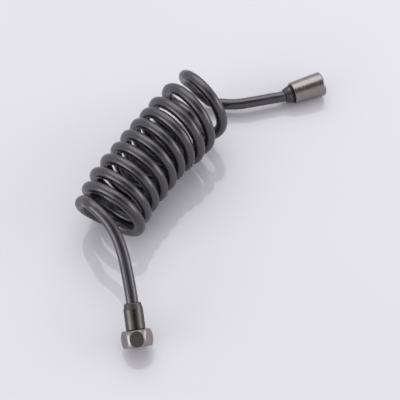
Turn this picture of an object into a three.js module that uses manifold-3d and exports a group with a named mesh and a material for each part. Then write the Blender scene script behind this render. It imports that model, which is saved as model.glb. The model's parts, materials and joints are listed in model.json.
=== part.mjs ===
// Coiled shower hose: smooth hose set into a spring coil, with a hexagon swivel nut on one end and a
// conical hand nut on the other, lying on a flat surface. Millimetres, +Z up.
// The origin is on that surface, midway between the two end fittings. +X runs along the coil, from the
// hexagon nut's end to the conical nut's, and the coil bows out to +Y.

import * as THREE from 'three';
import { mergeVertices } from 'three/addons/utils/BufferGeometryUtils.js';
import Module from 'manifold-3d';

const wasm = await Module();
wasm.setup();

// Fits
const seatGap = 0.3; // along the axis, between faces that seat on each other
const runningGap = 0.3; // all round, between a bore and what turns or sits in it
const edgeBreak = 0.4; // chamfer on sharp turned edges

// Hose
const hoseDiameter = 10.4;
const hoseBore = 7;
const hoseStep = 2 * hoseDiameter; // between the sections of a loose stretch
const hoseSides = 12;

// Coil: an arc seen from above, flat on the surface, with its last turns lifted a little
const coilMeanDiameter = 58;
const coilBowRadius = 510;
const coilMiddle = new THREE.Vector2(-6.8, 77.9);
const coilToFrontFace = 87; // along the arc from its middle
const coilToBackFace = 93;
const coilLift = 3.3;
const coilLiftStart = 26; // along the arc from its middle
const coilLiftRun = 57;
const coilSides = 28;
const coilSteps = 18;

// Thread of the two nuts: G 1/2, whose bore is drawn plain at its outer diameter
const threadBore = 21;
const threadMouth = 21.8;
const threadMinor = 18.6;

// Hexagon nut: a turned barrel with six milled flats
const hexNutLength = 14.2;
const hexBarrelDiameter = 26.8;
const hexBarrelCurve = 19; // radius of the barrel's arc, seen from the side
const hexBarrelPeak = 6.7; // from the mouth to the widest place
const hexAcrossFlats = 24.2;
const hexCorners = 6;
const hexThreadDepth = 11.4;
const hexRoll = THREE.MathUtils.degToRad(33);

// Conical nut
const coneNutLength = 31.5;
const coneMouthDiameter = 24.1;
const coneTailDiameter = 21.4;
const coneMouthChamfer = 1.4; // along the axis
const coneMouthInset = 0.5; // of the chamfer, towards the axis
const coneThreadDepth = 11.4;
const coneWeb = 3;
const coneTailBore = 16.6;

// Swivel inserts: a flange inside the nut, a neck through its web and a barbed tail in the hose
const flangeThickness = 2;
const neckDiameter = 13.6;
const insertStem = 8;
const insertBore = 4.6;
const barbDiameter = 6.4;
const barbRoot = 5.4;
const barbPitch = 3.6;
const barbRise = 2.7; // along the axis, from a barb's foot to its crest
const barbFall = 0.2;
const barbCount = 4;

// Sealing washers
const washerThickness = 1.8;
const washerBore = 12;

// Crimped ferrules
const ferruleWeb = 2;
const hexFerruleLength = 22.4;
const hexFerruleDiameter = 16.6;
const hexFerruleTail = 14.2;
const hexFerruleTaper = 5.5;
const coneFerruleDiameter = 13.4; // inside the nut
const coneCollarDiameter = 17;
const coneCollarTail = 13.5;
const coneCollarLength = 6.3;
const collarGrooveCount = 3;
const collarGroovePitch = 0.9;
const collarGrooveWidth = 0.5;
const collarGrooveDepth = 0.25;
const hoseInFerrule = 1.5; // from the ferrule's rim to where the loose stretch starts

// Plastic bush between the conical nut's tail and its ferrule
const bushFlangeDiameter = 18;
const bushFlangeThickness = 1.2;
const bushSleeveLength = 8;

// Where the fittings lie: centre of the nut's mouth, heading of its axis and how far that dips
const hexEnd = {
  mouth: new THREE.Vector3(-165.6, -13.4, 10.4),
  azimuth: THREE.MathUtils.degToRad(-138.6),
  dip: THREE.MathUtils.degToRad(30),
};
const coneEnd = {
  mouth: new THREE.Vector3(167.9, -5.4, coneMouthDiameter / 2),
  azimuth: THREE.MathUtils.degToRad(-36.3),
  dip: -Math.asin((coneMouthDiameter - coneTailDiameter) / 2 / coneNutLength),
};

// Loose stretches, from the fitting to the coil
const frontRoute = [
  [-131.2, 17.4, 35.4],
  [-123.3, 25.3, 40],
  [-116, 32.9, 44.2],
  [-109.1, 41.7, 49.4],
  [-104.1, 49.7, 53.7],
];
const rearRoute = [
  [125.5, 27.5, 11],
  [118.2, 34.3, 11.3],
  [110.4, 42.1, 11.4],
  [103.8, 49.4, 11.1],
  [99.3, 55.8, 10.8],
];
// Where the hose passes the coil's end faces: sideways from the coil's axis, and height
const frontMeeting = { side: -5, height: 59.5 };
const rearMeeting = { side: -3, height: 10.2 };
const leadLength = 5; // straight run of the hose before a coil face or behind a ferrule

// Facets
const nutSegments = 72;
const ferruleSegments = 56;
const washerSegments = 48;
const insertSegments = 40;
const barrelSteps = 9;

// Places along each fitting's own axis, measured from the mouth and negative towards the hose
const hexFlangeSeat = -hexThreadDepth + seatGap;
const hexFerruleFront = -hexNutLength - seatGap;
const hexFerruleBack = hexFerruleFront - hexFerruleLength;
const coneFlangeSeat = -coneThreadDepth + seatGap;
const coneFerruleFront = -coneThreadDepth - coneWeb - seatGap;
const bushBack = -coneNutLength - seatGap - bushFlangeThickness;
const coneCollarFront = bushBack - seatGap;
const coneFerruleBack = coneCollarFront - coneCollarLength;
const ferruleBore = hoseDiameter + 2 * runningGap;
const flangeDiameter = threadMinor - 2 * runningGap;
const webBore = neckDiameter + 2 * runningGap;

const gunmetal = { color: 0x8d8783, roughness: 0.34, metalness: 1 };
const brass = { color: 0xb08d4f, roughness: 0.32, metalness: 1 };
const hosePlastic = { color: 0x3b3a40, roughness: 0.38, metalness: 0 };
const blackPlastic = { color: 0x141414, roughness: 0.45, metalness: 0 };
const rubber = { color: 0x1d1d1e, roughness: 0.8, metalness: 0 };

function addPart(parent, name, geometry, finish) {
  const mesh = new THREE.Mesh(geometry, new THREE.MeshStandardMaterial(finish));
  mesh.name = name;
  parent.add(mesh);
  return mesh;
}

// Geometry with nothing but positions, each shared by the faces that meet there.
function welded(geometry) {
  const bare = geometry.clone();
  for (const attribute of ['normal', 'uv']) {
    bare.deleteAttribute(attribute);
  }
  return mergeVertices(bare);
}

// Ring turned about Z. Its profile of [radius, z] points runs up the outside and down the inside.
function turned(profile, segments) {
  const points = profile.map(([radius, z]) => new THREE.Vector2(radius, z));
  points.push(points[0].clone());
  const geometry = new THREE.LatheGeometry(points, segments);
  geometry.rotateX(Math.PI / 2);
  return welded(geometry);
}

function solidOf(geometry) {
  const mesh = welded(geometry);
  return new wasm.Manifold(new wasm.Mesh({
    numProp: 3,
    vertProperties: new Float32Array(mesh.attributes.position.array),
    triVerts: new Uint32Array(mesh.index.array),
  }));
}

function geometryOf(solid) {
  const mesh = solid.getMesh();
  const geometry = new THREE.BufferGeometry();
  geometry.setAttribute('position', new THREE.BufferAttribute(mesh.vertProperties, 3));
  geometry.setIndex(new THREE.BufferAttribute(mesh.triVerts, 1));
  return geometry;
}

// Regular polygon with a corner on its +X axis.
function polygonShape(radius, sides) {
  const corners = [];
  for (let i = 0; i < sides; i += 1) {
    const angle = (2 * Math.PI * i) / sides;
    corners.push(new THREE.Vector2(radius * Math.cos(angle), radius * Math.sin(angle)));
  }
  return new THREE.Shape(corners);
}

function tubeAlong(path, diameter, sides, steps) {
  return welded(new THREE.ExtrudeGeometry(polygonShape(diameter / 2, sides), {
    steps,
    extrudePath: path,
    bevelEnabled: false,
  }));
}

// Hexagon nut, mouth up at z = 0.
function hexNutGeometry() {
  const barrelRadius = (z) => {
    const offset = z + hexBarrelPeak;
    const drop = hexBarrelCurve - Math.sqrt(hexBarrelCurve ** 2 - offset ** 2);
    return hexBarrelDiameter / 2 - drop;
  };
  const outside = [];
  const arcLength = hexNutLength - 2 * edgeBreak;
  for (let i = 0; i <= barrelSteps; i += 1) {
    const z = -hexNutLength + edgeBreak + (arcLength * i) / barrelSteps;
    outside.push([barrelRadius(z), z]);
  }
  const body = turned([
    [barrelRadius(-hexNutLength + edgeBreak) - edgeBreak, -hexNutLength],
    ...outside,
    [barrelRadius(-edgeBreak) - edgeBreak, 0],
    [threadMouth / 2, 0],
    [threadBore / 2, -(threadMouth - threadBore) / 2],
    [threadBore / 2, -hexThreadDepth],
    [webBore / 2, -hexThreadDepth],
    [webBore / 2, -hexNutLength],
  ], nutSegments);
  const hexCornerRadius = hexAcrossFlats / 2 / Math.cos(Math.PI / hexCorners);
  const flats = new THREE.ExtrudeGeometry(polygonShape(hexCornerRadius, hexCorners), {
    depth: hexNutLength + 2 * edgeBreak,
    bevelEnabled: false,
  });
  flats.translate(0, 0, -hexNutLength - edgeBreak);
  return geometryOf(solidOf(body).intersect(solidOf(flats)));
}

// Conical nut: thread at the mouth, a web that the insert's flange bears on, a plain bore behind it.
function coneNutGeometry() {
  const slope = (coneMouthDiameter - coneTailDiameter) / 2 / coneNutLength;
  return turned([
    [coneTailDiameter / 2 - edgeBreak, -coneNutLength],
    [coneTailDiameter / 2 + slope * edgeBreak, -coneNutLength + edgeBreak],
    [coneMouthDiameter / 2 - slope * coneMouthChamfer, -coneMouthChamfer],
    [coneMouthDiameter / 2 - coneMouthInset, 0],
    [threadMouth / 2, 0],
    [threadBore / 2, -(threadMouth - threadBore) / 2],
    [threadBore / 2, -coneThreadDepth],
    [webBore / 2, -coneThreadDepth],
    [webBore / 2, -coneThreadDepth - coneWeb],
    [coneTailBore / 2, -coneThreadDepth - coneWeb],
    [coneTailBore / 2, -coneNutLength],
  ], nutSegments);
}

// Swivel insert: flange on the nut's web, neck through it, stem through the ferrule's web, barbed tail.
function insertGeometry(flangeSeat, ferruleFront) {
  const neckEnd = ferruleFront + seatGap;
  const stemEnd = ferruleFront - ferruleWeb - seatGap;
  const barbs = [];
  for (let i = barbCount; i >= 1; i -= 1) {
    const foot = stemEnd - i * barbPitch;
    barbs.push([barbRoot / 2, foot]);
    barbs.push([barbDiameter / 2, foot + barbRise]);
    barbs.push([barbRoot / 2, foot + barbRise + barbFall]);
  }
  return turned([
    ...barbs,
    [barbRoot / 2, stemEnd],
    [insertStem / 2, stemEnd],
    [insertStem / 2, neckEnd],
    [neckDiameter / 2, neckEnd],
    [neckDiameter / 2, flangeSeat],
    [flangeDiameter / 2, flangeSeat],
    [flangeDiameter / 2, flangeSeat + flangeThickness - edgeBreak],
    [flangeDiameter / 2 - edgeBreak, flangeSeat + flangeThickness],
    [insertBore / 2 + edgeBreak, flangeSeat + flangeThickness],
    [insertBore / 2, flangeSeat + flangeThickness - edgeBreak],
    [insertBore / 2, stemEnd - barbCount * barbPitch],
  ], insertSegments);
}

function washerGeometry(flangeSeat) {
  const bottom = flangeSeat + flangeThickness + seatGap;
  const top = bottom + washerThickness;
  return turned([
    [flangeDiameter / 2, bottom],
    [flangeDiameter / 2, top],
    [washerBore / 2, top],
    [washerBore / 2, bottom],
  ], washerSegments);
}

function hexFerruleGeometry() {
  return turned([
    [hexFerruleTail / 2 - edgeBreak, hexFerruleBack],
    [hexFerruleTail / 2, hexFerruleBack + edgeBreak],
    [hexFerruleDiameter / 2, hexFerruleBack + hexFerruleTaper],
    [hexFerruleDiameter / 2, hexFerruleFront - edgeBreak],
    [hexFerruleDiameter / 2 - edgeBreak, hexFerruleFront],
    [insertStem / 2 + runningGap, hexFerruleFront],
    [insertStem / 2 + runningGap, hexFerruleFront - ferruleWeb],
    [ferruleBore / 2, hexFerruleFront - ferruleWeb],
    [ferruleBore / 2, hexFerruleBack],
  ], ferruleSegments);
}

// The conical end's ferrule: a sleeve inside the nut, and a collar behind it that flares to the bush and
// has turned grooves at its small end.
function coneFerruleGeometry() {
  const flare = (coneCollarDiameter - coneCollarTail) / 2 / (coneCollarLength - 2 * edgeBreak);
  const flareStart = coneFerruleBack + edgeBreak;
  const flareRadius = (z) => coneCollarTail / 2 + flare * (z - flareStart);
  const grooves = [];
  for (let i = 0; i < collarGrooveCount; i += 1) {
    const middle = flareStart + collarGroovePitch * (i + 1);
    const back = middle - collarGrooveWidth / 2;
    const front = middle + collarGrooveWidth / 2;
    grooves.push([flareRadius(back), back]);
    grooves.push([flareRadius(middle) - collarGrooveDepth, middle]);
    grooves.push([flareRadius(front), front]);
  }
  return turned([
    [coneCollarTail / 2 - edgeBreak, coneFerruleBack],
    [coneCollarTail / 2, flareStart],
    ...grooves,
    [coneCollarDiameter / 2, coneCollarFront - edgeBreak],
    [coneCollarDiameter / 2 - edgeBreak, coneCollarFront],
    [coneFerruleDiameter / 2, coneCollarFront],
    [coneFerruleDiameter / 2, coneFerruleFront],
    [insertStem / 2 + runningGap, coneFerruleFront],
    [insertStem / 2 + runningGap, coneFerruleFront - ferruleWeb],
    [ferruleBore / 2, coneFerruleFront - ferruleWeb],
    [ferruleBore / 2, coneFerruleBack],
  ], ferruleSegments);
}

function bushGeometry() {
  const bore = coneFerruleDiameter / 2 + runningGap;
  const sleeve = coneTailBore / 2 - runningGap;
  return turned([
    [bushFlangeDiameter / 2, bushBack],
    [bushFlangeDiameter / 2, bushBack + bushFlangeThickness],
    [sleeve, bushBack + bushFlangeThickness],
    [sleeve, bushBack + bushFlangeThickness + bushSleeveLength],
    [bore, bushBack + bushFlangeThickness + bushSleeveLength],
    [bore, bushBack],
  ], ferruleSegments);
}

// The hose's wall inside a ferrule, round the insert's barbs.
function hoseEndGeometry(ferruleFront, ferruleBack) {
  const front = ferruleFront - ferruleWeb - seatGap;
  const back = ferruleBack + hoseInFerrule;
  return turned([
    [hoseDiameter / 2, back],
    [hoseDiameter / 2, front],
    [hoseBore / 2, front],
    [hoseBore / 2, back],
  ], insertSegments);
}

// Group whose +Z axis leaves the mouth of a fitting.
function fittingGroup(end) {
  const group = new THREE.Group();
  group.position.copy(end.mouth);
  group.rotation.set(0, Math.PI / 2 + end.dip, end.azimuth, 'ZYX');
  group.updateMatrixWorld();
  return group;
}

// Axis of the coil. Distances run along it from its middle, and left of it is +Y there.
class CoilAxis extends THREE.Curve {
  at(distance, side, height) {
    const heading = -distance / coilBowRadius;
    const radius = coilBowRadius + side;
    return new THREE.Vector3(
      coilMiddle.x - radius * Math.sin(heading),
      coilMiddle.y - coilBowRadius + radius * Math.cos(heading),
      height,
    );
  }

  getPoint(t, target = new THREE.Vector3()) {
    const distance = -coilToFrontFace + t * (coilToFrontFace + coilToBackFace);
    const rise = THREE.MathUtils.smoothstep(distance, coilLiftStart, coilLiftStart + coilLiftRun);
    const height = (coilMeanDiameter + hoseDiameter) / 2 + coilLift * rise;
    return target.copy(this.at(distance, 0, height));
  }
}

// Loose stretch of hose from inside a ferrule to just short of a coil's end face.
function looseHose(group, ferruleBack, route, axis, faceDistance, meeting) {
  const away = Math.sign(faceDistance);
  const start = ferruleBack + hoseInFerrule - seatGap;
  const inFerrule = new THREE.Vector3(0, 0, start);
  const behindFerrule = new THREE.Vector3(0, 0, start - hoseInFerrule - leadLength);
  const path = new THREE.CatmullRomCurve3([
    group.localToWorld(inFerrule),
    group.localToWorld(behindFerrule),
    ...route.map((point) => new THREE.Vector3(...point)),
    axis.at(faceDistance + away * (seatGap + leadLength), meeting.side, meeting.height),
    axis.at(faceDistance + away * seatGap, meeting.side, meeting.height),
  ], false, 'centripetal');
  const steps = Math.ceil(path.getLength() / hoseStep);
  return tubeAlong(path, hoseDiameter, hoseSides, steps);
}

function buildHexEnd() {
  const group = fittingGroup(hexEnd);
  const nut = addPart(group, 'hex_nut', hexNutGeometry(), gunmetal);
  nut.rotation.z = hexRoll;
  addPart(group, 'hex_ferrule', hexFerruleGeometry(), gunmetal);
  addPart(group, 'hex_insert', insertGeometry(hexFlangeSeat, hexFerruleFront), brass);
  addPart(group, 'hex_washer', washerGeometry(hexFlangeSeat), rubber);
  addPart(group, 'hose_front_end', hoseEndGeometry(hexFerruleFront, hexFerruleBack), hosePlastic);
  return group;
}

function buildConeEnd() {
  const group = fittingGroup(coneEnd);
  addPart(group, 'cone_nut', coneNutGeometry(), gunmetal);
  addPart(group, 'cone_ferrule', coneFerruleGeometry(), gunmetal);
  addPart(group, 'cone_insert', insertGeometry(coneFlangeSeat, coneFerruleFront), brass);
  addPart(group, 'cone_bush', bushGeometry(), blackPlastic);
  addPart(group, 'cone_washer', washerGeometry(coneFlangeSeat), rubber);
  addPart(group, 'hose_rear_end', hoseEndGeometry(coneFerruleFront, coneFerruleBack), hosePlastic);
  return group;
}

const showerHose = new THREE.Group();
const hexGroup = buildHexEnd();
const coneGroup = buildConeEnd();
const coilAxis = new CoilAxis();
showerHose.add(hexGroup, coneGroup);

const coil = tubeAlong(coilAxis, coilMeanDiameter + hoseDiameter, coilSides, coilSteps);
addPart(showerHose, 'hose_coil', coil, hosePlastic);
const frontTail = looseHose(hexGroup, hexFerruleBack, frontRoute, coilAxis, -coilToFrontFace, frontMeeting);
addPart(showerHose, 'hose_front_tail', frontTail, hosePlastic);
const rearTail = looseHose(coneGroup, coneFerruleBack, rearRoute, coilAxis, coilToBackFace, rearMeeting);
addPart(showerHose, 'hose_rear_tail', rearTail, hosePlastic);

export default showerHose;
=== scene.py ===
"""Coiled shower hose with a hexagon swivel nut and a conical swivel nut, on a glossy pale surface.

Metres, +Z up, in the frame of the CAD model. A fitting's own places run along its axis: 0 is the
mouth of its nut, and negative is towards the hose.
"""

import json
import math

import bpy
from mathutils import Matrix, Vector


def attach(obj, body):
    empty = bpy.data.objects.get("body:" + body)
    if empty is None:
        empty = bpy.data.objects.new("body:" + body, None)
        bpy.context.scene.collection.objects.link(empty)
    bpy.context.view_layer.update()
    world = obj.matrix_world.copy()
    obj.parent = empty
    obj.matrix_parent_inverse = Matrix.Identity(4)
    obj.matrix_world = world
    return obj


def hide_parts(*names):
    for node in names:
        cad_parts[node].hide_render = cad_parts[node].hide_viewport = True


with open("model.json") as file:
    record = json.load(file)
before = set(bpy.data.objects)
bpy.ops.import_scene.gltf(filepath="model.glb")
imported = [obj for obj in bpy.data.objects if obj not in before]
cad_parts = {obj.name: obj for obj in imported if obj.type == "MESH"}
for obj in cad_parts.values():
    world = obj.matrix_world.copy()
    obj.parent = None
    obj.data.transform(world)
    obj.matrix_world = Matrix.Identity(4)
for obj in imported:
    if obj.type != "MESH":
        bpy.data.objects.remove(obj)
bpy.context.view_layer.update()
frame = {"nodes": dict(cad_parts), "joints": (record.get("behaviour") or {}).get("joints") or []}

MM = 0.001

# Camera
CAMERA_PLACE = Vector((-0.47825, -0.2715, 0.8155))
CAMERA_TARGET = Vector((-0.00635, 0.026, 0.0))
CAMERA_LENS = 96.1  # mm
SENSOR_WIDTH = 36  # mm

# Hose
HOSE_DIAMETER = 10.4 * MM
HOSE_IN_FERRULE = 1.2 * MM  # from the ferrule's rim to where the visible hose starts
LEAD_LENGTH = 5 * MM  # nearly straight run behind a ferrule
REAR_LEAD_RISE = 0.7 * MM  # how far that run ends above the rear ferrule's axis

# Coil: a helix about an arc that lies flat. Turn 0 is at its left side, and turn 0.25 at its bottom.
COIL_BOW_RADIUS = 510 * MM
COIL_MIDDLE = Vector((-6.8, 77.9)) * MM
COIL_START = -78 * MM  # place of turn 0, along the arc from its middle
COIL_LIFT = 3.3 * MM  # of the last turns, off the surface
COIL_LIFT_START = 26 * MM  # place along the arc where it starts
COIL_LIFT_RUN = 57 * MM
FIRST_TURN = -0.125
LAST_TURN = 10.0625
POINTS_PER_TURN = 16
# Sizes at turn 0, 1, 2 and so on, in mm, fitted to the edges of the turns in the photograph: the pitch,
# the mean radius, the sideways place, how far on a turn's top and its bottom lie, and the bottom's twist
COIL_PITCH = (14.6, 14.9, 15.2, 14.9, 15.1, 15.2, 13.7, 12.4, 15.9, 22.7, 26.8)
COIL_MEAN_RADIUS = (28.0, 28.1, 28.2, 28.3, 28.3, 28.3, 28.6, 29.9, 31.0, 30.4, 29.0)
COIL_SIDEWAYS = (-0.8, 0.7, 1.7, 0.5, -0.4, -0.4, -0.8, -2.9, -3.8, -3.1, -1.7)
COIL_TOP = (-3.4, -3.5, -2.6, -1.1, -1.6, -1.1, -0.4, 0.0, -1.6, -0.3, -6.3)
COIL_BOTTOM = (8.9, 5.3, 3.3, 0.7, -2.1, -2.7, -1.6, -0.3, 0.9, 4.5, 7.8)
COIL_TWIST = (0.0, 1.8, 0.6, -1.2, -2.8, -2.5, -2.0, -0.8, 1.7, 5.0, 5.0)
SIDE_LEAN = 2.1 * MM  # how far a turn's left side leans on
TWIST_SHAPE = 2.6  # makes the largest shift of a twisted bottom about as large as its twist

# Loose stretches, from the fitting to the coil, in mm
FRONT_ROUTE = [
    (-131.2, 17.4, 35.4),
    (-123.3, 25.3, 40),
    (-116, 32.9, 44.2),
    (-109.1, 41.7, 49.4),
    (-104.1, 49.7, 53.7),
]
REAR_ROUTE = [
    (125.5, 27.5, 11),
    (118.2, 34.3, 11.3),
    (110.4, 42.1, 11.4),
    (103.8, 49.4, 11.1),
    (99.3, 55.8, 10.8),
]
# The last bends, from there into the first turn and out of the last one
FRONT_BEND = [(-100.4, 58.6, 57.7), (-97.8, 68.2, 60.2), (-95.9, 78, 60.9)]
REAR_BEND = [
    (96.2, 62, 10.3),
    (93.7, 68.8, 9.6),
    (92.2, 76, 9.5),
    (91.7, 83.6, 12.8),
    (90.5, 90.5, 18.6),
]

# Fits and edges, as in the solids
SEAT_GAP = 0.3 * MM
RUNNING_GAP = 0.3 * MM
EDGE_BREAK = 0.4 * MM

# Thread of the nuts, G 1/2: right-handed, 14 turns to the inch
THREAD_BORE = 21 * MM
THREAD_MOUTH = 21.8 * MM
THREAD_MINOR = 18.6 * MM
THREAD_PITCH = 25.4 / 14 * MM
RIDGE_FOOT = 0.45  # half of the ridge's width at its foot, in pitches
RIDGE_CREST = 0.08  # the same at its crest
RIDGE_END = 0.05  # width of the ridge's two ends, as a share of its full width

# Hexagon nut
HEX_LENGTH = 14.2 * MM
HEX_BARREL_DIAMETER = 26.8 * MM
HEX_BARREL_CURVE = 19 * MM
HEX_BARREL_PEAK = 6.7 * MM
HEX_ACROSS_FLATS = 24.2 * MM
HEX_THREAD_DEPTH = 11.4 * MM
HEX_ROLL = math.radians(33)
HEX_EDGE = 0.12 * MM  # softness of the edge between a flat and the barrel

# Conical nut
CONE_LENGTH = 31.5 * MM
CONE_MOUTH_DIAMETER = 24.1 * MM
CONE_TAIL_DIAMETER = 21.4 * MM
CONE_MOUTH_CHAMFER = 1.4 * MM
CONE_MOUTH_INSET = 0.5 * MM
CONE_THREAD_DEPTH = 11.4 * MM
CONE_WEB = 3 * MM
CONE_TAIL_BORE = 16.6 * MM

# Inserts and washers
FLANGE_THICKNESS = 2 * MM
NECK_DIAMETER = 13.6 * MM
INSERT_STEM = 8 * MM
WASHER_THICKNESS = 1.8 * MM
WASHER_BORE = 12 * MM

# Ferrules and bush
FERRULE_WEB = 2 * MM
HEX_FERRULE_LENGTH = 22.4 * MM
HEX_FERRULE_DIAMETER = 16.6 * MM
HEX_FERRULE_TAIL = 14.2 * MM
HEX_FERRULE_TAPER = 5.5 * MM
CONE_FERRULE_DIAMETER = 13.4 * MM
COLLAR_DIAMETER = 17 * MM
COLLAR_TAIL = 13.5 * MM
COLLAR_LENGTH = 6.3 * MM
COLLAR_GROOVES = 3
COLLAR_GROOVE_PITCH = 0.9 * MM
COLLAR_GROOVE_DEPTH = 0.25 * MM
FIRST_GROOVE = 0.7  # where it starts, in pitches from the collar's broken edge
GROOVE_SHAPE = ((0, 0), (0.2, 1), (0.4, 1), (0.6, 0))  # places in pitches and depths in full depths
BUSH_FLANGE_DIAMETER = 18 * MM
BUSH_FLANGE_THICKNESS = 1.2 * MM
BUSH_SLEEVE_LENGTH = 8 * MM

# Materials: dark and bright tone of each, and the middle part of the noise that runs between them
HOSE_TONES = ((0.0083, 0.0075, 0.0092), (0.0102, 0.0092, 0.0112))
NUT_TONES = ((0.245, 0.225, 0.217), (0.32, 0.293, 0.281))
FERRULE_TONES = ((0.085, 0.078, 0.075), (0.122, 0.112, 0.108))
BRASS_TONES = ((0.50, 0.34, 0.12), (0.60, 0.43, 0.18))
NOISE_MIDDLE = (0.3, 0.7)

# Stage
FLOOR_COLOUR = (0.67, 0.664, 0.696)
FLOOR_GLOSS = 0.05  # share of the light that it mirrors
FLOOR_HALF_WIDTH = 4.0
BACKGROUND_COLOUR = (0.76, 0.75, 0.79, 1)
FILL_LEVEL = 0.83  # of the background, for what isn't shiny
DARK_PLACE = (-160, 64)  # azimuth and elevation of the dark patch that shiny pieces mirror
DARK_EDGE = math.cos(math.radians(34))
DARK_CORE = math.cos(math.radians(10))
DARK_LEVEL = 0.08
# Name, azimuth, elevation, distance, width and height, radiance of each softbox
SOFTBOXES = [
    ("far_softbox", 5, 56, 2.0, (2.3, 1.8), 1.4),
    ("left_softbox", 118, 18, 1.3, (0.9, 0.7), 2.3),
    ("right_softbox", -88, 22, 1.3, (0.9, 0.7), 2.3),
]
FAR_DIRECTION = math.atan2(CAMERA_TARGET.y - CAMERA_PLACE.y, CAMERA_TARGET.x - CAMERA_PLACE.x)

# Facets
HOSE_BEVEL_STEPS = 10
HOSE_STEPS = 5  # between two points of its route
TURNED_SEGMENTS = 144
HEX_SEGMENTS = 360
BARREL_STEPS = 40
THREAD_STEPS = 72  # per turn
ROUNDING_STEPS = 4

# How far from a corner its rounding starts
HEX_NUT_ROUNDING = 0.15 * MM
CONE_NUT_ROUNDING = 0.2 * MM
HEX_FERRULE_ROUNDING = 0.25 * MM
CONE_FERRULE_ROUNDING = 0.12 * MM
BUSH_ROUNDING = 0.3 * MM
WASHER_ROUNDING = 0.4 * MM
LARGEST_ROUNDING_SHARE = 0.45  # of the edge beside the corner

# Places along the fittings' axes
FERRULE_BORE = HOSE_DIAMETER + 2 * RUNNING_GAP
WEB_BORE = NECK_DIAMETER + 2 * RUNNING_GAP
FLANGE_DIAMETER = THREAD_MINOR - 2 * RUNNING_GAP
STEM_BORE = INSERT_STEM + 2 * RUNNING_GAP
HEX_FLANGE_SEAT = -HEX_THREAD_DEPTH + SEAT_GAP
HEX_FERRULE_FRONT = -HEX_LENGTH - SEAT_GAP
HEX_FERRULE_BACK = HEX_FERRULE_FRONT - HEX_FERRULE_LENGTH
CONE_FLANGE_SEAT = -CONE_THREAD_DEPTH + SEAT_GAP
CONE_FERRULE_FRONT = -CONE_THREAD_DEPTH - CONE_WEB - SEAT_GAP
BUSH_BACK = -CONE_LENGTH - SEAT_GAP - BUSH_FLANGE_THICKNESS
COLLAR_FRONT = BUSH_BACK - SEAT_GAP
CONE_FERRULE_BACK = COLLAR_FRONT - COLLAR_LENGTH


def set_camera():
    camera = bpy.data.objects.new("camera", bpy.data.cameras.new("camera"))
    bpy.context.scene.collection.objects.link(camera)
    camera.data.sensor_width = SENSOR_WIDTH
    camera.data.lens = CAMERA_LENS
    camera.location = CAMERA_PLACE
    camera.rotation_euler = (CAMERA_TARGET - CAMERA_PLACE).to_track_quat("-Z", "Y").to_euler()
    bpy.context.scene.camera = camera


def fitting_matrix(joint_name):
    """Place of a fitting: the origin at its nut's mouth, +Z out of the mouth, +Y level."""
    joint = next(j for j in frame["joints"] if j["name"] == joint_name)
    axis = Vector(joint["axis"]).normalized()
    level = Vector((0, 0, 1)).cross(axis).normalized()
    matrix = Matrix((level.cross(axis), level, axis)).transposed().to_4x4()
    matrix.translation = Vector(joint["pos_m"])
    return matrix


def smoothstep(value):
    value = min(max(value, 0.0), 1.0)
    return value * value * (3 - 2 * value)


def at_turn(sizes, turn):
    """A size at a turn, in metres, changing evenly between the sizes listed for whole turns."""
    turn = min(max(turn, 0), len(sizes) - 1)
    low = min(int(turn), len(sizes) - 2)
    return (sizes[low] + (sizes[low + 1] - sizes[low]) * (turn - low)) * MM


def coil_point(turn, advance):
    """Centre of the hose at a turn, which lies `advance` along the coil's arc from turn 0."""
    mean_radius = at_turn(COIL_MEAN_RADIUS, turn)
    across = math.cos(2 * math.pi * turn)
    down = math.sin(2 * math.pi * turn)
    top, bottom = at_turn(COIL_TOP, turn), at_turn(COIL_BOTTOM, turn)
    lean = (bottom - top) / 2 * down + (bottom + top) / 2 * down**2
    twist = at_turn(COIL_TWIST, turn) * TWIST_SHAPE * max(down, 0) ** 2 * across
    distance = COIL_START + advance + lean + twist + SIDE_LEAN * across
    lift = COIL_LIFT * smoothstep((distance - COIL_LIFT_START) / COIL_LIFT_RUN)
    heading = -distance / COIL_BOW_RADIUS
    radius = COIL_BOW_RADIUS + mean_radius * across + at_turn(COIL_SIDEWAYS, turn)
    return Vector((
        COIL_MIDDLE.x - radius * math.sin(heading),
        COIL_MIDDLE.y - COIL_BOW_RADIUS + radius * math.cos(heading),
        mean_radius * (1 - down) + HOSE_DIAMETER / 2 + lift,
    ))


def coil_points():
    points = []
    advance = FIRST_TURN * at_turn(COIL_PITCH, FIRST_TURN)
    step = 1 / POINTS_PER_TURN
    for i in range(round((LAST_TURN - FIRST_TURN) * POINTS_PER_TURN) + 1):
        turn = FIRST_TURN + i * step
        points.append(coil_point(turn, advance))
        advance += step * at_turn(COIL_PITCH, turn + step / 2)
    return points


def hose_points(front, rear):
    """The hose's centreline from inside one ferrule, through the coil, to inside the other."""
    front_start = front @ Vector((0, 0, HEX_FERRULE_BACK + HOSE_IN_FERRULE))
    front_lead = front @ Vector((0, 0, HEX_FERRULE_BACK - LEAD_LENGTH))
    rear_lead = rear @ Vector((0, 0, CONE_FERRULE_BACK - LEAD_LENGTH)) + Vector((0, 0, REAR_LEAD_RISE))
    rear_start = rear @ Vector((0, 0, CONE_FERRULE_BACK + HOSE_IN_FERRULE))
    front_stretch = [Vector(p) * MM for p in FRONT_ROUTE + FRONT_BEND]
    rear_stretch = [Vector(p) * MM for p in reversed(REAR_ROUTE + REAR_BEND)]
    return [front_start, front_lead, *front_stretch, *coil_points(), *rear_stretch, rear_lead, rear_start]


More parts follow.
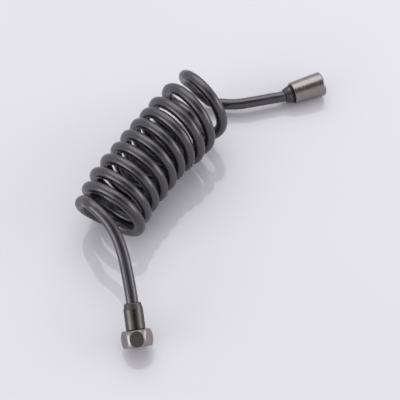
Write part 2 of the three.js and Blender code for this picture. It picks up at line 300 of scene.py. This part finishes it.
def build_hose(points):
    curve = bpy.data.curves.new("hose", "CURVE")
    curve.dimensions = "3D"
    curve.bevel_depth = HOSE_DIAMETER / 2
    curve.bevel_resolution = HOSE_BEVEL_STEPS
    curve.resolution_u = HOSE_STEPS
    spline = curve.splines.new("BEZIER")
    spline.bezier_points.add(len(points) - 1)
    for bezier, point in zip(spline.bezier_points, points):
        bezier.co = point
        bezier.handle_left_type = "AUTO"
        bezier.handle_right_type = "AUTO"
    hose = bpy.data.objects.new("hose", curve)
    bpy.context.scene.collection.objects.link(hose)
    return hose


def mesh_object(name, vertices, faces, place):
    mesh = bpy.data.meshes.new(name)
    mesh.from_pydata(vertices, [], faces)
    mesh.update()
    mesh.polygons.foreach_set("use_smooth", [True] * len(mesh.polygons))
    obj = bpy.data.objects.new(name, mesh)
    bpy.context.scene.collection.objects.link(obj)
    obj.matrix_world = place
    return obj


def softened(corners, cut):
    """Closed outline with each corner rounded off, starting at most `cut` before it."""
    outline = []
    for i, corner in enumerate(corners):
        here = Vector(corner)
        before = Vector(corners[i - 1]) - here
        after = Vector(corners[(i + 1) % len(corners)]) - here
        start = here + before * min(cut / before.length, LARGEST_ROUNDING_SHARE)
        end = here + after * min(cut / after.length, LARGEST_ROUNDING_SHARE)
        for k in range(ROUNDING_STEPS + 1):
            t = k / ROUNDING_STEPS
            outline.append(start * (1 - t) ** 2 + here * 2 * t * (1 - t) + end * t**2)
    return outline


def turned(name, place, outline, segments=TURNED_SEGMENTS, limit=None):
    """Ring turned about the fitting's axis from a closed outline of (radius, place).

    limit gives the largest radius at an angle, for flats milled into the ring.
    """
    vertices = []
    for radius, height in outline:
        for k in range(segments):
            angle = 2 * math.pi * k / segments
            reach = limit(radius, angle) if limit else radius
            vertices.append((reach * math.cos(angle), reach * math.sin(angle), height))
    faces = []
    rings = len(outline)
    for i in range(rings):
        for k in range(segments):
            n = (k + 1) % segments
            j = (i + 1) % rings
            faces.append((i * segments + k, i * segments + n, j * segments + n, j * segments + k))
    piece = mesh_object(name, vertices, faces, place)
    weighting = piece.modifiers.new("weighted normals", "WEIGHTED_NORMAL")
    weighting.keep_sharp = True
    return piece


def hexagon_limit(radius, angle):
    """The smaller of a radius and the hexagon's reach at an angle, with the edge between them softened."""
    turn = math.radians(60)
    from_flat = (angle - HEX_ROLL) % turn - turn / 2
    reach = HEX_ACROSS_FLATS / 2 / math.cos(from_flat)
    overlap = max(HEX_EDGE - abs(radius - reach), 0.0)
    return min(radius, reach) - overlap**2 / (4 * HEX_EDGE)


def barrel_radius(height):
    offset = height + HEX_BARREL_PEAK
    return HEX_BARREL_DIAMETER / 2 - HEX_BARREL_CURVE + math.sqrt(HEX_BARREL_CURVE**2 - offset**2)


def build_hex_nut(place):
    run = HEX_LENGTH - 2 * EDGE_BREAK
    heights = [-HEX_LENGTH + EDGE_BREAK + run * i / BARREL_STEPS for i in range(BARREL_STEPS + 1)]
    inside_and_back = [
        (THREAD_MOUTH / 2, 0),
        (THREAD_BORE / 2, -(THREAD_MOUTH - THREAD_BORE) / 2),
        (THREAD_BORE / 2, -HEX_THREAD_DEPTH),
        (WEB_BORE / 2, -HEX_THREAD_DEPTH),
        (WEB_BORE / 2, -HEX_LENGTH),
        (barrel_radius(heights[0]) - EDGE_BREAK, -HEX_LENGTH),
        (barrel_radius(heights[0]), heights[0]),
    ]
    front = [
        (barrel_radius(heights[-1]), heights[-1]),
        (barrel_radius(heights[-1]) - EDGE_BREAK, 0),
    ]
    outline = softened(inside_and_back + front, HEX_NUT_ROUNDING)
    # The barrel's arc goes in between the rounded corners of its two ends.
    arc = [Vector((barrel_radius(h), h)) for h in heights[1:-1]]
    split = len(inside_and_back) * (ROUNDING_STEPS + 1)
    outline = outline[:split] + arc + outline[split:]
    return turned("hex_nut_body", place, outline, HEX_SEGMENTS, hexagon_limit)


def build_cone_nut(place):
    slope = (CONE_MOUTH_DIAMETER - CONE_TAIL_DIAMETER) / 2 / CONE_LENGTH
    outline = softened(
        [
            (CONE_TAIL_DIAMETER / 2 - EDGE_BREAK, -CONE_LENGTH),
            (CONE_TAIL_DIAMETER / 2 + slope * EDGE_BREAK, -CONE_LENGTH + EDGE_BREAK),
            (CONE_MOUTH_DIAMETER / 2 - slope * CONE_MOUTH_CHAMFER, -CONE_MOUTH_CHAMFER),
            (CONE_MOUTH_DIAMETER / 2 - CONE_MOUTH_INSET, 0),
            (THREAD_MOUTH / 2, 0),
            (THREAD_BORE / 2, -(THREAD_MOUTH - THREAD_BORE) / 2),
            (THREAD_BORE / 2, -CONE_THREAD_DEPTH),
            (WEB_BORE / 2, -CONE_THREAD_DEPTH),
            (WEB_BORE / 2, -CONE_THREAD_DEPTH - CONE_WEB),
            (CONE_TAIL_BORE / 2, -CONE_THREAD_DEPTH - CONE_WEB),
            (CONE_TAIL_BORE / 2, -CONE_LENGTH),
        ],
        CONE_NUT_ROUNDING,
    )
    return turned("cone_nut_body", place, outline)


def build_hex_ferrule(place):
    outline = softened(
        [
            (HEX_FERRULE_TAIL / 2 - EDGE_BREAK, HEX_FERRULE_BACK),
            (HEX_FERRULE_TAIL / 2, HEX_FERRULE_BACK + EDGE_BREAK),
            (HEX_FERRULE_DIAMETER / 2, HEX_FERRULE_BACK + HEX_FERRULE_TAPER),
            (HEX_FERRULE_DIAMETER / 2, HEX_FERRULE_FRONT - EDGE_BREAK),
            (HEX_FERRULE_DIAMETER / 2 - EDGE_BREAK, HEX_FERRULE_FRONT),
            (STEM_BORE / 2, HEX_FERRULE_FRONT),
            (STEM_BORE / 2, HEX_FERRULE_FRONT - FERRULE_WEB),
            (FERRULE_BORE / 2, HEX_FERRULE_FRONT - FERRULE_WEB),
            (FERRULE_BORE / 2, HEX_FERRULE_BACK),
        ],
        HEX_FERRULE_ROUNDING,
    )
    return turned("hex_ferrule_body", place, outline)


def collar_radius(height):
    share = (height - CONE_FERRULE_BACK) / COLLAR_LENGTH
    return (COLLAR_TAIL + (COLLAR_DIAMETER - COLLAR_TAIL) * share) / 2


def build_cone_ferrule(place):
    """Sleeve inside the nut and the flared collar behind it, with grooves at the collar's small end."""
    grooves = []
    for i in range(COLLAR_GROOVES):
        for along, depth in GROOVE_SHAPE:
            height = CONE_FERRULE_BACK + EDGE_BREAK + (i + FIRST_GROOVE + along) * COLLAR_GROOVE_PITCH
            grooves.append((collar_radius(height) - depth * COLLAR_GROOVE_DEPTH, height))
    outline = softened(
        [
            (COLLAR_TAIL / 2 - EDGE_BREAK, CONE_FERRULE_BACK),
            (COLLAR_TAIL / 2, CONE_FERRULE_BACK + EDGE_BREAK),
            *grooves,
            (COLLAR_DIAMETER / 2, COLLAR_FRONT - EDGE_BREAK),
            (COLLAR_DIAMETER / 2 - EDGE_BREAK, COLLAR_FRONT),
            (CONE_FERRULE_DIAMETER / 2, COLLAR_FRONT),
            (CONE_FERRULE_DIAMETER / 2, CONE_FERRULE_FRONT),
            (STEM_BORE / 2, CONE_FERRULE_FRONT),
            (STEM_BORE / 2, CONE_FERRULE_FRONT - FERRULE_WEB),
            (FERRULE_BORE / 2, CONE_FERRULE_FRONT - FERRULE_WEB),
            (FERRULE_BORE / 2, CONE_FERRULE_BACK),
        ],
        CONE_FERRULE_ROUNDING,
    )
    return turned("cone_ferrule_body", place, outline)


def build_bush(place):
    sleeve = CONE_TAIL_BORE / 2 - RUNNING_GAP
    bore = CONE_FERRULE_DIAMETER / 2 + RUNNING_GAP
    flange_front = BUSH_BACK + BUSH_FLANGE_THICKNESS
    outline = softened(
        [
            (BUSH_FLANGE_DIAMETER / 2, BUSH_BACK),
            (BUSH_FLANGE_DIAMETER / 2, flange_front),
            (sleeve, flange_front),
            (sleeve, flange_front + BUSH_SLEEVE_LENGTH),
            (bore, flange_front + BUSH_SLEEVE_LENGTH),
            (bore, BUSH_BACK),
        ],
        BUSH_ROUNDING,
    )
    return turned("cone_bush_body", place, outline)


def build_washer(name, place, flange_seat):
    bottom = flange_seat + FLANGE_THICKNESS + SEAT_GAP
    top = bottom + WASHER_THICKNESS
    outline = softened(
        [
            (FLANGE_DIAMETER / 2, bottom),
            (FLANGE_DIAMETER / 2, top),
            (WASHER_BORE / 2, top),
            (WASHER_BORE / 2, bottom),
        ],
        WASHER_ROUNDING,
    )
    return turned(name, place, outline)


def build_thread(name, place, depth):
    """Ridge of a right-handed thread, wound down a nut's bore from its mouth."""
    root = THREAD_BORE / 2
    height = (THREAD_BORE - THREAD_MINOR) / 2
    start = -(THREAD_MOUTH - THREAD_BORE) / 2 - THREAD_PITCH / 2
    turns = (depth + start - THREAD_PITCH / 2) / THREAD_PITCH
    count = round(turns * THREAD_STEPS)
    vertices = []
    for i in range(count + 1):
        angle = 2 * math.pi * i / THREAD_STEPS
        middle = start - THREAD_PITCH * i / THREAD_STEPS
        fade = smoothstep(min(i, count - i) / (THREAD_STEPS / 4))
        crest = root - height * fade
        width = THREAD_PITCH * max(fade, RIDGE_END)
        section = ((root, -RIDGE_FOOT), (crest, -RIDGE_CREST), (crest, RIDGE_CREST), (root, RIDGE_FOOT))
        for radius, side in section:
            vertices.append((radius * math.cos(angle), radius * math.sin(-angle), middle + side * width))
    faces = [(3, 2, 1, 0), tuple(4 * count + k for k in range(4))]
    for i in range(count):
        for k in range(4):
            n = (k + 1) % 4
            faces.append((4 * i + k, 4 * i + n, 4 * i + 4 + n, 4 * i + 4 + k))
    ridge = mesh_object(name, vertices, faces, place)
    ridge.data.polygons.foreach_set("use_smooth", [False] * len(ridge.data.polygons))
    return ridge


class Shader:
    """A Principled material that is built up node by node."""

    def __init__(self, name):
        self.material = bpy.data.materials.new(name)
        self.material.use_nodes = True
        self.tree = self.material.node_tree
        self.surface = self.tree.nodes["Principled BSDF"]

    def add(self, kind, inputs=None, **settings):
        node = self.tree.nodes.new("ShaderNode" + kind)
        for key, value in settings.items():
            setattr(node, key, value)
        for key, value in (inputs or {}).items():
            self.feed(node.inputs[key], value)
        return node

    def feed(self, socket, value):
        if isinstance(value, bpy.types.NodeSocket):
            self.tree.links.new(value, socket)
        else:
            socket.default_value = value

    def noise(self, scale, stretch=(1, 1, 1), detail=3.0):
        """Noise whose scale is in waves per metre, on the piece's own coordinates."""
        place = self.add("TexCoord").outputs["Object"]
        mapped = self.add("Mapping", {"Vector": place, "Scale": stretch})
        node = self.add("TexNoise", {"Vector": mapped.outputs["Vector"], "Scale": scale, "Detail": detail})
        return node.outputs["Fac"]

    def between(self, factor, low, high):
        """A value that runs from low to high as the factor runs over the middle of the noise."""
        start, end = NOISE_MIDDLE
        node = self.add("MapRange", {
            "Value": factor,
            "From Min": start,
            "From Max": end,
            "To Min": low,
            "To Max": high,
        })
        return node.outputs["Result"]

    def blend(self, factor, low, high):
        node = self.add("MixRGB", {"Fac": factor, "Color1": (*low, 1), "Color2": (*high, 1)})
        return node.outputs["Color"]

    def bump(self, height, distance, strength=1.0):
        node = self.add("Bump", {"Height": height, "Distance": distance, "Strength": strength})
        self.feed(self.surface.inputs["Normal"], node.outputs["Normal"])

    def set(self, socket, value):
        self.feed(self.surface.inputs[socket], value)


def hose_material():
    """Smooth black plastic with a sheen that is slightly violet."""
    shader = Shader("hose")
    mottle = shader.between(shader.noise(90), 0, 1)
    shader.set("IOR", 1.9)
    shader.set("Specular Tint", (0.95, 0.92, 1, 1))
    shader.set("Base Color", shader.blend(mottle, *HOSE_TONES))
    shader.set("Roughness", shader.between(shader.noise(260, detail=4), 0.24, 0.32))
    shader.bump(shader.noise(2600, detail=2), 0.02 * MM, 0.15)
    return shader.material


def metal_material(name, tones):
    """Plated brass, brushed round its axis: fine lines that hardly change round the piece."""
    shader = Shader(name)
    lines = shader.noise(900, stretch=(0.06, 0.06, 6), detail=4)
    cloud = shader.noise(160)
    shares = {0: shader.between(lines, 0, 0.6), 1: shader.between(cloud, 0, 0.4)}
    tone = shader.add("Math", shares, operation="ADD")
    shader.set("Metallic", 1.0)
    shader.set("Base Color", shader.blend(tone.outputs["Value"], *tones))
    shader.set("Roughness", shader.between(lines, 0.23, 0.34))
    shader.bump(lines, 0.01 * MM, 0.35)
    return shader.material


def brass_material():
    """Bare turned brass of the inserts, with faint rings."""
    shader = Shader("insert_brass")
    rings = shader.noise(1400, stretch=(0.3, 0.3, 4))
    shader.set("Metallic", 1.0)
    shader.set("Base Color", shader.blend(shader.between(rings, 0, 1), *BRASS_TONES))
    shader.set("Roughness", shader.between(rings, 0.26, 0.38))
    shader.bump(rings, 0.01 * MM, 0.3)
    return shader.material


def black_material(name, level, roughness, grain):
    """Moulded black plastic or rubber with a fine grain."""
    shader = Shader(name)
    cloud = shader.between(shader.noise(300), 0, 1)
    low = (level, level, level * 1.05)
    high = (level * 1.5, level * 1.5, level * 1.55)
    shader.set("IOR", 1.48)
    shader.set("Base Color", shader.blend(cloud, low, high))
    shader.set("Roughness", shader.between(shader.noise(800), roughness - 0.06, roughness + 0.06))
    shader.bump(shader.noise(grain, detail=2), 0.03 * MM, 0.4)
    return shader.material


def floor_material():
    """White panel with a clear polished skin, which mirrors as much from low down as from above."""
    shader = Shader("floor")
    cloud = shader.between(shader.noise(6, detail=2), 0, 1)
    shader.set("Specular IOR Level", 0)
    shader.set("Base Color", shader.blend(cloud, FLOOR_COLOUR, [c * 1.01 for c in FLOOR_COLOUR]))
    skin = shader.add("BsdfAnisotropic", {"Color": (1, 1, 1, 1), "Roughness": 0.03})
    body = shader.surface.outputs["BSDF"]
    panel = shader.add("MixShader", {0: FLOOR_GLOSS, 1: body, 2: skin.outputs["BSDF"]})
    shader.feed(shader.tree.nodes["Material Output"].inputs["Surface"], panel.outputs["Shader"])
    return shader.material


def finish_piece(piece, material, slot, body, *nodes):
    piece.data.materials.clear()
    piece.data.materials.append(material)
    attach(piece, body)
    if nodes:
        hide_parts(*nodes)


def finish_node(name, material):
    node = frame["nodes"][name]
    node.data.materials.clear()
    node.data.materials.append(material)


def sky_direction(azimuth, elevation):
    """Direction at an azimuth, 0 being away from the camera and + to the left, and an elevation."""
    azimuth = FAR_DIRECTION + math.radians(azimuth)
    elevation = math.radians(elevation)
    return Vector((
        math.cos(azimuth) * math.cos(elevation),
        math.sin(azimuth) * math.cos(elevation),
        math.sin(elevation),
    ))


def softbox(name, azimuth, elevation, distance, size, radiance):
    """Lamp that is seen from the part at an azimuth and an elevation."""
    place = distance * sky_direction(azimuth, elevation)
    light = bpy.data.lights.new(name, "AREA")
    light.shape = "RECTANGLE"
    light.size, light.size_y = size
    light.energy = radiance * math.pi * light.size * light.size_y
    lamp = bpy.data.objects.new(name, light)
    bpy.context.scene.collection.objects.link(lamp)
    lamp.location = place
    lamp.rotation_euler = (-place).to_track_quat("-Z", "Y").to_euler()


def build_stage():
    half = FLOOR_HALF_WIDTH
    corners = [(-half, -half, 0), (half, -half, 0), (half, half, 0), (-half, half, 0)]
    floor = mesh_object("floor", corners, [(0, 1, 2, 3)], Matrix.Identity(4))
    floor.data.materials.append(floor_material())


def set_world():
    """Pale surroundings, weaker as fill light, with a dark patch that only shiny pieces mirror."""
    world = bpy.data.worlds.new("world")
    bpy.context.scene.world = world
    world.use_nodes = True
    nodes, links = world.node_tree.nodes, world.node_tree.links

    def add(kind, inputs, **settings):
        node = nodes.new("ShaderNode" + kind)
        for key, value in settings.items():
            setattr(node, key, value)
        for key, value in inputs.items():
            if isinstance(value, bpy.types.NodeSocket):
                links.new(value, node.inputs[key])
            else:
                node.inputs[key].default_value = value
        return node

    direction = nodes.new("ShaderNodeTexCoord").outputs["Generated"]
    dark_place = sky_direction(*DARK_PLACE)
    toward_dark = add("VectorMath", {0: direction, 1: dark_place}, operation="DOT_PRODUCT")
    patch = {
        "Value": toward_dark.outputs["Value"],
        "From Min": DARK_EDGE,
        "From Max": DARK_CORE,
        "To Min": 1,
        "To Max": DARK_LEVEL,
    }
    mirrored = add("MapRange", patch, interpolation_type="SMOOTHSTEP").outputs["Result"]
    path = nodes.new("ShaderNodeLightPath").outputs
    shiny_kinds = {0: path["Is Glossy Ray"], 1: path["Is Transmission Ray"]}
    shiny = add("Math", shiny_kinds, operation="MAXIMUM").outputs["Value"]
    unseen = add("MapRange", {"Value": shiny, "To Min": FILL_LEVEL, "To Max": mirrored}).outputs["Result"]
    seen = add("MapRange", {"Value": path["Is Camera Ray"], "To Min": unseen, "To Max": 1})
    background = nodes["Background"]
    background.inputs["Color"].default_value = BACKGROUND_COLOUR
    links.new(seen.outputs["Result"], background.inputs["Strength"])


set_camera()
hex_place = fitting_matrix("hex_nut_turn")
cone_place = fitting_matrix("cone_nut_turn")

route = hose_points(hex_place, cone_place)
hose = build_hose(route)
finish_piece(hose, hose_material(), "hose", "hose", "hose_coil", "hose_front_tail", "hose_rear_tail")

nut_metal = metal_material("nut_metal", NUT_TONES)
ferrule_metal = metal_material("ferrule_metal", FERRULE_TONES)
insert_brass = brass_material()
washer_rubber = black_material("washer_rubber", level=0.015, roughness=0.62, grain=2400)
bush_plastic = black_material("bush_plastic", level=0.008, roughness=0.42, grain=3200)

hex_nut = build_hex_nut(hex_place)
cone_nut = build_cone_nut(cone_place)
hex_thread = build_thread("hex_thread", hex_place, HEX_THREAD_DEPTH)
cone_thread = build_thread("cone_thread", cone_place, CONE_THREAD_DEPTH)
finish_piece(hex_nut, nut_metal, "nut_metal", "hex_nut_body", "hex_nut")
finish_piece(cone_nut, nut_metal, "nut_metal", "cone_nut_body", "cone_nut")
finish_piece(hex_thread, nut_metal, "nut_metal", "hex_nut_body")
finish_piece(cone_thread, nut_metal, "nut_metal", "cone_nut_body")

hex_ferrule = build_hex_ferrule(hex_place)
cone_ferrule = build_cone_ferrule(cone_place)
cone_bush = build_bush(cone_place)
hex_seal = build_washer("hex_seal", hex_place, HEX_FLANGE_SEAT)
cone_seal = build_washer("cone_seal", cone_place, CONE_FLANGE_SEAT)
finish_piece(hex_ferrule, ferrule_metal, "ferrule_metal", "hose", "hex_ferrule")
finish_piece(cone_ferrule, ferrule_metal, "ferrule_metal", "hose", "cone_ferrule")
finish_piece(cone_bush, bush_plastic, "bush_plastic", "hose", "cone_bush")
finish_piece(hex_seal, washer_rubber, "washer_rubber", "hose", "hex_washer")
finish_piece(cone_seal, washer_rubber, "washer_rubber", "hose", "cone_washer")
finish_node("hex_insert", insert_brass)
finish_node("cone_insert", insert_brass)
finish_node("hose_front_end", hose.data.materials[0])
finish_node("hose_rear_end", hose.data.materials[0])

build_stage()
set_world()
for lamp in SOFTBOXES:
    softbox(*lamp)
bpy.context.scene.view_settings.view_transform = "Standard"
